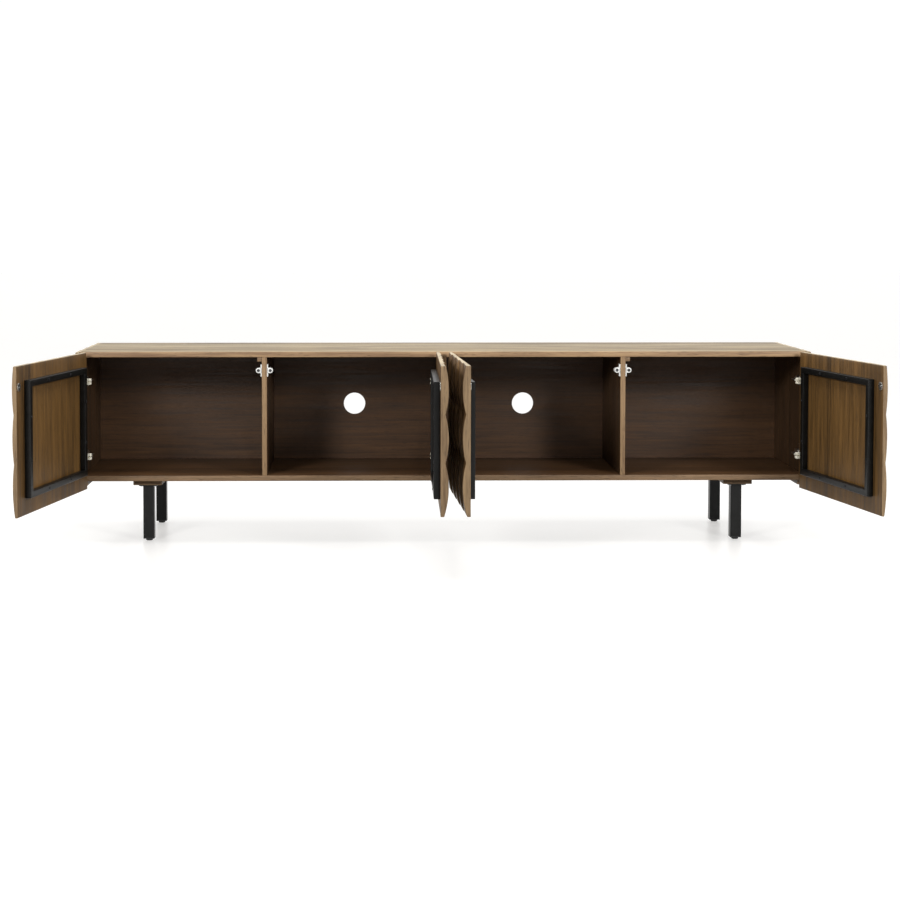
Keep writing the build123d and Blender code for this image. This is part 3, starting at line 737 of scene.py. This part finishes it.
def door_fittings(hung):
    """Hinge cups, their covers, the strike, the small screws and the hinge links of a door."""
    low, high = hung.span("hinge_cups")
    middle = (low[0] + high[0]) / 2
    face = high[1] - FLANGE
    depth = face - low[1]
    levels = hung.levels()
    cup = hinge_cup(depth)
    cups = [hung.lay(cup, middle, face, level) for level in levels]
    piece(f"{hung.body}_pressed_cups", cups, nickel, hung.body, "bright_steel", f"{hung.body}_hinge_cups")

    near, far = hung.span("hinge_covers")
    half = (far[2] - near[2] - (levels[1] - levels[0])) / 2
    covers = []
    for level in levels:
        for side in (-1, 1):
            us = lines(0, far[0] - near[0], PLASTIC_EASE)
            zs = lines(0, half - COVER_SLOT / 2, PLASTIC_EASE)
            shell = slab(us, zs, lambda u, z: np.full_like(u, far[1] - near[1]), PLASTIC_EASE)
            foot = hung.point(near[0], near[1], level + side * COVER_SLOT / 2)
            covers.append(laid(shell, foot, hung.along, hung.inward, side * UP))
    name = f"{hung.body}_moulded_covers"
    piece(name, covers, cream_nylon, hung.body, "cream_plastic", f"{hung.body}_hinge_covers")

    near, far = hung.span("strike")
    radius, rise = (far[0] - near[0]) / 2, far[1] - near[1]
    radii = radius * np.array((0, 0.45, 0.88, 0.97, 1, 1, 0))
    heights = (rise - STRIKE_DISH, rise - STRIKE_DISH, rise, 0.9 * rise, 0.7 * rise, 0, 0)
    disc = hung.lay(turned(radii, heights, 48), near[0] + radius, near[1], near[2] + radius)
    piece(f"{hung.body}_strike_disc", [disc], nickel, hung.body, "bright_steel", f"{hung.body}_strike")

    small = screw(*SMALL_SCREW)
    screws = [
        hung.lay(small, middle, high[1], level + side * CUP_SCREW_STEP)
        for level in levels
        for side in (-1, 1)
    ]
    screws.append(hung.lay(small, near[0] + radius, far[1] - SMALL_SCREW[1], near[2] + radius))
    name = f"{hung.body}_wood_screw_heads"
    piece(name, screws, zinc, hung.body, "zinc_screw", f"{hung.body}_wood_screws")
    hinge_links(hung, middle, face, levels)


def hinge_cup(depth):
    """Pressed cup with its flange, a function of the angle and of the place along the section.

    The flange's outline is the further of a circle round the cup and of a slot with round ends.
    """
    sides = 72
    angle = np.arange(sides) * 2 * pi / sides
    aside, along = np.abs(np.cos(angle)), np.abs(np.sin(angle))
    reach = FLANGE_HALF_LENGTH - FLANGE_HALF_WIDTH
    straight = FLANGE_HALF_WIDTH / aside.clip(1e-6)
    ended = reach * along + np.sqrt((FLANGE_HALF_WIDTH**2 - (reach * aside) ** 2).clip(0))
    outline = np.maximum(np.where(straight * along <= reach, straight, ended), CUP_OUTER + CUP_RIM)
    section = (
        (0, -depth),
        (CUP_OUTER - METAL_EASE, -depth),
        (CUP_OUTER, METAL_EASE - depth),
        (CUP_OUTER, 0),
        (outline, 0),
        (outline, FLANGE - METAL_EASE),
        (outline - METAL_EASE, FLANGE),
        (CUP_RADIUS + METAL_EASE, FLANGE),
        (CUP_RADIUS, FLANGE - 2 * METAL_EASE),
        (CUP_RADIUS - METAL_EASE, CUP_WALL - depth),
        (0, CUP_WALL - depth),
    )
    return turned([radius for radius, _ in section], [height for _, height in section], sides)


def hinge_links(hung, middle, face, levels):
    """Cranked links from the arms' leaves to the cups: a flat bar along a quadratic curve.

    The curve leaves the leaf's end, bends round the door's hinge edge and dips into the cup. It is made
    once, where the door stands at rest, and rides on no body.
    """
    arms_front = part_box(f"{hung.body}_hinge_arms")[0].y
    start = np.array((hung.pivot[0] + hung.hand * LEAF_MIDDLE, arms_front + LINK_WIDTH / 2, 0))
    bend = hung.point(LINK_BEND[0], face + LINK_BEND[1], 0)
    end = hung.point(middle, face - LINK_DIP, 0)
    t = np.linspace(0, 1, 25)[:, None]
    path = (1 - t) ** 2 * start + 2 * t * (1 - t) * bend + t**2 * end
    forward = np.gradient(path, axis=0)
    forward = forward / np.linalg.norm(forward, axis=1)[:, None]
    across = np.cross(forward, UP)
    ring = rounded(LINK_WIDTH / 2, LINK / 2, LINK_CORNER, 3)
    shrink = np.ones(len(t))
    shrink[[0, -1]] = LINK_TIP
    shells = []
    for level in levels:
        points = (
            path[:, None, :]
            + UP * level
            + across[:, None, :] * (ring[:, 0] * shrink[:, None])[:, :, None]
            + UP * (ring[:, 1] * shrink[:, None])[:, :, None]
        )
        count = len(ring)
        flat = points.reshape(-1, 3)
        poles = np.vstack((flat, points[0].mean(0), points[-1].mean(0)))
        j = np.arange(count)
        k = (j + 1) % count
        base = (len(t) - 1) * count
        none = np.full(count, -1)
        first = np.stack((k, j, np.full(count, len(flat)), none), -1)
        last = np.stack((base + j, base + k, np.full(count, len(flat) + 1), none), -1)
        shells.append((poles, np.vstack((grid(len(t), count), first, last)), {}))
    links = piece(f"{hung.body}_hinge_links", shells, cream_nylon, None, "cream_plastic")
    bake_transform(links)


# ---- catches ----
def catches():
    """Magnetic catches: a plate on the divider and a housing with a D-shaped outline round each magnet.

    The outline is a half circle on the open side and reaches square to the plate on the other.
    """
    low, high = box_of("catch_magnets")
    plate_low, plate_high = box_of("catch_housings")
    radius = (high[2] - low[2]) / 2
    level = (high[2] + low[2]) / 2
    sides = 48
    angle = np.arange(sides) * 2 * pi / sides
    housings, magnets = [], []
    for node in ("left_divider", "right_divider"):
        for side, face in ((-1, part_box(node)[0].x), (1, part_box(node)[1].x)):
            outer = plate_high[0] if node == "right_divider" else plate_low[0]
            axis = abs(outer - (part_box(node)[1].x if outer > 0 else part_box(node)[0].x)) - CATCH_BODY
            towards = -np.cos(angle)
            square = np.minimum(CATCH_BODY / np.abs(np.sin(angle)).clip(1e-6), axis / towards.clip(1e-6))
            outline = np.where(towards > 0, square, CATCH_BODY)
            depth = plate_high[1] - plate_low[1]
            section = (
                (0, -depth),
                (outline - CATCH_BACK_EASE, -depth),
                (outline, -depth + CATCH_BACK_EASE),
                (outline, -CATCH_EASE),
                (outline - CATCH_EASE * 0.3, -0.3 * CATCH_EASE),
                (outline - CATCH_EASE, 0),
                (radius + MAGNET_LIP, 0),
                (radius + MAGNET_GAP, -MAGNET_GAP),
                (radius + MAGNET_GAP, -MAGNET_WELL),
                (0, -MAGNET_WELL),
            )
            shell = turned([point[0] for point in section], [point[1] for point in section], sides)
            middle = np.array((face + side * axis, plate_low[1], level))
            housings.append(laid(shell, middle, side * RIGHT, UP, -BACK))
            us = lines(0, depth, CATCH_PLATE_EASE)
            zs = lines(0, plate_high[2] - plate_low[2], CATCH_PLATE_EASE)
            shell = slab(us, zs, lambda u, z: np.full_like(u, CATCH_PLATE), CATCH_PLATE_EASE)
            housings.append(laid(shell, (face, plate_low[1], plate_low[2]), BACK, side * RIGHT, UP))
            long = high[1] - low[1]
            disc = turned(radius * np.array((0, 0.85, 1, 1, 0)), (0, 0, -MAGNET_EASE, -long, -long), 32)
            magnets.append(laid(disc, (middle[0], low[1], level), side * RIGHT, UP, -BACK))
    piece("catch_moulded_housings", housings, white_abs, "cabinet", "white_plastic", "catch_housings")
    piece("catch_magnet_discs", magnets, ferrite, "cabinet", "magnet", "catch_magnets")


# ---- CAD nodes that keep their shape ----
def dress(material, *nodes):
    """Give CAD nodes a better material in all their slots."""
    for node in nodes:
        mesh = frame["nodes"][node].data
        mesh.materials.clear()
        mesh.materials.append(material)


def floor():
    """A white floor that glows a little, as a lit studio sweep does, so shadows on it stay pale."""
    material, tree, shader = blank("white_studio_floor", Roughness=0.35)
    place = add(tree, "ShaderNodeTexCoord").outputs["Object"]
    mottle = add(tree, "ShaderNodeTexNoise", {"Vector": place, "Scale": 3.0}).outputs["Fac"]
    tone = {0: mottle, 6: linear("#B3B2B0"), 7: linear("#BAB9B7")}
    colour = add(tree, "ShaderNodeMix", tone, data_type="RGBA")
    tree.links.new(colour.outputs[2], shader.inputs["Base Color"])
    shader.inputs["Emission Color"].default_value = (1, 0.99, 0.97, 1)
    shader.inputs["Emission Strength"].default_value = 0.47
    reach = 30.0
    mesh = bpy.data.meshes.new("studio_floor")
    corners = [(-reach, -reach, 0), (reach, -reach, 0), (reach, reach, 0), (-reach, reach, 0)]
    mesh.from_pydata(corners, [], [(0, 1, 2, 3)])
    mesh.materials.append(material)
    ground = bpy.data.objects.new("studio_floor", mesh)
    bpy.context.scene.collection.objects.link(ground)
    ground.visible_diffuse = False  # so it doesn't light the cabinet from below


camera()
studio()
floor()
carcass()
doors = [Hung(number) for number in DOORS]
door_low, door_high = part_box("door_1_panel")
row_pitch = (door_high.z - door_low.z - RUN_ON) / ROWS
side_panels(row_pitch)
for door in doors:
    door_panel(door, row_pitch)
    door_frame(door)
    door_fittings(door)
catches()
dress(black_steel, "front_left_leg", "back_left_leg", "front_right_leg", "back_right_leg")
dress(black_plastic, "leg_glides")
dress(rear_ply, "back_panel")
dress(zinc, "leg_screws", "back_screws", "catch_screws", "hinge_arm_screws")
dress(nickel, *[f"door_{number}_hinge_arms" for number in DOORS])
